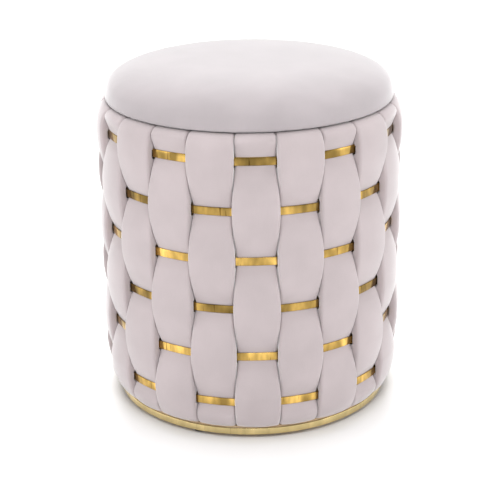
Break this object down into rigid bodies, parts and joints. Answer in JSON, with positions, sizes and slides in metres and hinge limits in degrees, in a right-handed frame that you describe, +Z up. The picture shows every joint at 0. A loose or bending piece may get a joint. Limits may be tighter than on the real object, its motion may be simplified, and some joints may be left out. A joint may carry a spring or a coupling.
{
  "type": "storage pouf",
  "caption": "Round pouf stool: padded velvet straps woven over metal hoops on a wooden drum, with a lift-off padded lid, a storage space inside and a metal-edged plinth on glides.",
  "frame": {"origin": "centre of the footprint, on the floor under the glides", "axes": "+Z up along the drum's axis; the front strap's centre faces -Y and the hoops' joints are hidden at +Y"},
  "size_m": [0.382, 0.382, 0.435],
  "materials": {
    "strap_velvet": "matte",
    "lid_velvet": "matte",
    "hoop_metal": "polished",
    "band_metal": "polished",
    "joiner_metal": "satin",
    "plywood": "satin",
    "foam": "matte",
    "lining_cloth": "matte",
    "dust_cloth": "matte",
    "glide_plastic": "satin",
    "steel": "satin"
  },
  "bodies": {
    "base": {"strap_01": "strap_velvet", "strap_02": "strap_velvet", "strap_03": "strap_velvet", "strap_04": "strap_velvet", "strap_05": "strap_velvet", "strap_06": "strap_velvet", "strap_07": "strap_velvet", "strap_08": "strap_velvet", "strap_09": "strap_velvet", "strap_10": "strap_velvet", "strap_11": "strap_velvet", "strap_12": "strap_velvet", "strap_13": "strap_velvet", "strap_14": "strap_velvet", "strap_15": "strap_velvet", "strap_16": "strap_velvet", "strap_17": "strap_velvet", "strap_18": "strap_velvet", "strap_19": "strap_velvet", "strap_20": "strap_velvet", "strap_21": "strap_velvet", "strap_22": "strap_velvet", "hoop_1": "hoop_metal", "hoop_2": "hoop_metal", "hoop_3": "hoop_metal", "hoop_4": "hoop_metal", "hoop_5": "hoop_metal", "hoop_6": "hoop_metal", "foot_1": "glide_plastic", "foot_2": "glide_plastic", "foot_3": "glide_plastic", "foot_4": "glide_plastic", "foot_5": "glide_plastic", "strap_foam_odd": "foam", "strap_foam_even": "foam", "strap_staples_top": "steel", "strap_staples_bottom": "steel", "hoop_joiners": "joiner_metal", "hoop_rivets": "steel", "drum_shell": "plywood", "bottom_board": "plywood", "lining_wall": "lining_cloth", "lining_floor": "lining_cloth", "plinth_board": "plywood", "plinth_band": "band_metal", "plinth_screws": "steel", "plinth_dust_cover": "dust_cloth", "foot_screws": "steel"},
    "lid": {"lid_cover": "lid_velvet", "lid_foam": "foam", "lid_board": "plywood", "lid_plug": "plywood", "lid_dust_cover": "dust_cloth", "lid_screws": "steel", "lid_staples": "steel"}
  },
  "joints": [
    {"name": "lid_lift", "type": "slide", "parent": "base", "child": "lid", "axis": [0, 0, 1], "range_m": [0, 0.2]}
  ]
}
